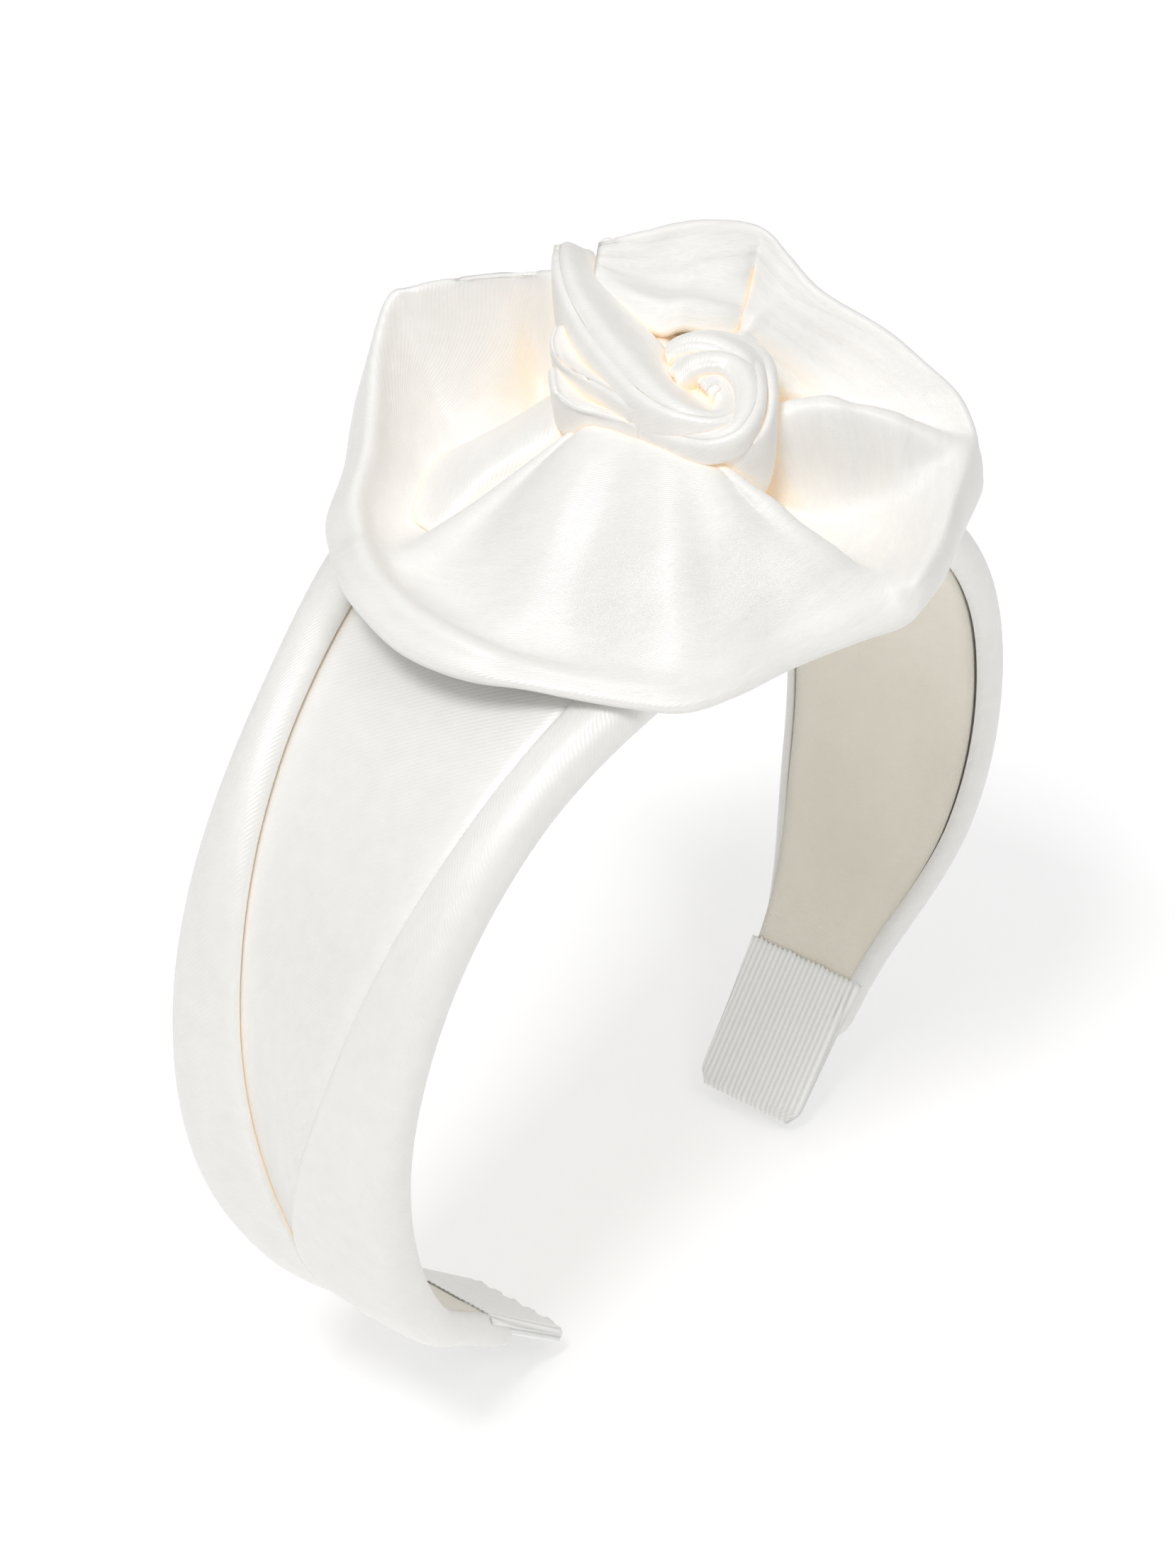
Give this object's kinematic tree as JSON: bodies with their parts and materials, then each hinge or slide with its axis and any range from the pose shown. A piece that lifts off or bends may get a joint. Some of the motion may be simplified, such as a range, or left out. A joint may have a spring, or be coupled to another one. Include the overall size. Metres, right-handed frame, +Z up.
{
  "type": "rosette headband",
  "caption": "Wide padded satin headband with rolled edges, a folded fabric rosette on the crown, springy legs and ribbed ribbon tips.",
  "frame": {"origin": "middle of the crown's inner face, where the band rests on top of the head", "axes": "+X to the right leg, +Y to the back of the head, +Z up through the crown; the legs hang down along -Z"},
  "size_m": [0.1382, 0.0742, 0.1488],
  "materials": {
    "ivory_satin": "satin weave with a soft sheen",
    "lining_fabric": "matte plain weave",
    "grosgrain_ribbon": "ribbed grosgrain",
    "filling": "soft polyester wadding",
    "spring_core": "matte moulded",
    "felt": "pressed felt",
    "thread": "twisted thread",
    "glue": "set hot glue"
  },
  "bodies": {
    "crown": {"crown_core": "spring_core", "crown_lining": "lining_fabric", "crown_padding": "filling", "crown_centre_panel": "ivory_satin", "crown_front_roll": "ivory_satin", "crown_front_filler": "filling", "crown_rear_roll": "ivory_satin", "crown_rear_filler": "filling", "petal_left": "ivory_satin", "petal_left_inner": "ivory_satin", "petal_front": "ivory_satin", "petal_right": "ivory_satin", "petal_back": "ivory_satin", "top_loop": "ivory_satin", "inner_band": "ivory_satin", "fold_pair": "ivory_satin", "small_fold": "ivory_satin", "bud": "ivory_satin", "rosette_base": "felt", "rosette_stitches": "thread", "glue_pad": "glue"},
    "left_leg": {"left_leg_core": "spring_core", "left_leg_lining": "lining_fabric", "left_leg_padding": "filling", "left_leg_centre_panel": "ivory_satin", "left_leg_front_roll": "ivory_satin", "left_leg_front_filler": "filling", "left_leg_rear_roll": "ivory_satin", "left_leg_rear_filler": "filling", "tip_sleeve_left": "grosgrain_ribbon"},
    "right_leg": {"right_leg_core": "spring_core", "right_leg_lining": "lining_fabric", "right_leg_padding": "filling", "right_leg_centre_panel": "ivory_satin", "right_leg_front_roll": "ivory_satin", "right_leg_front_filler": "filling", "right_leg_rear_roll": "ivory_satin", "right_leg_rear_filler": "filling", "tip_sleeve_right": "grosgrain_ribbon"}
  },
  "joints": [
    {"name": "left_leg_flex", "type": "hinge", "parent": "crown", "child": "left_leg", "pos_m": [-0.06149, 0, -0.02773], "axis": [0, 1, 0], "range_deg": [0, 15], "stiffness_Nm_per_rad": 0.6},
    {"name": "right_leg_flex", "type": "hinge", "parent": "crown", "child": "right_leg", "pos_m": [0.06149, 0, -0.02773], "axis": [0, -1, 0], "range_deg": [0, 15], "stiffness_Nm_per_rad": 0.6}
  ]
}
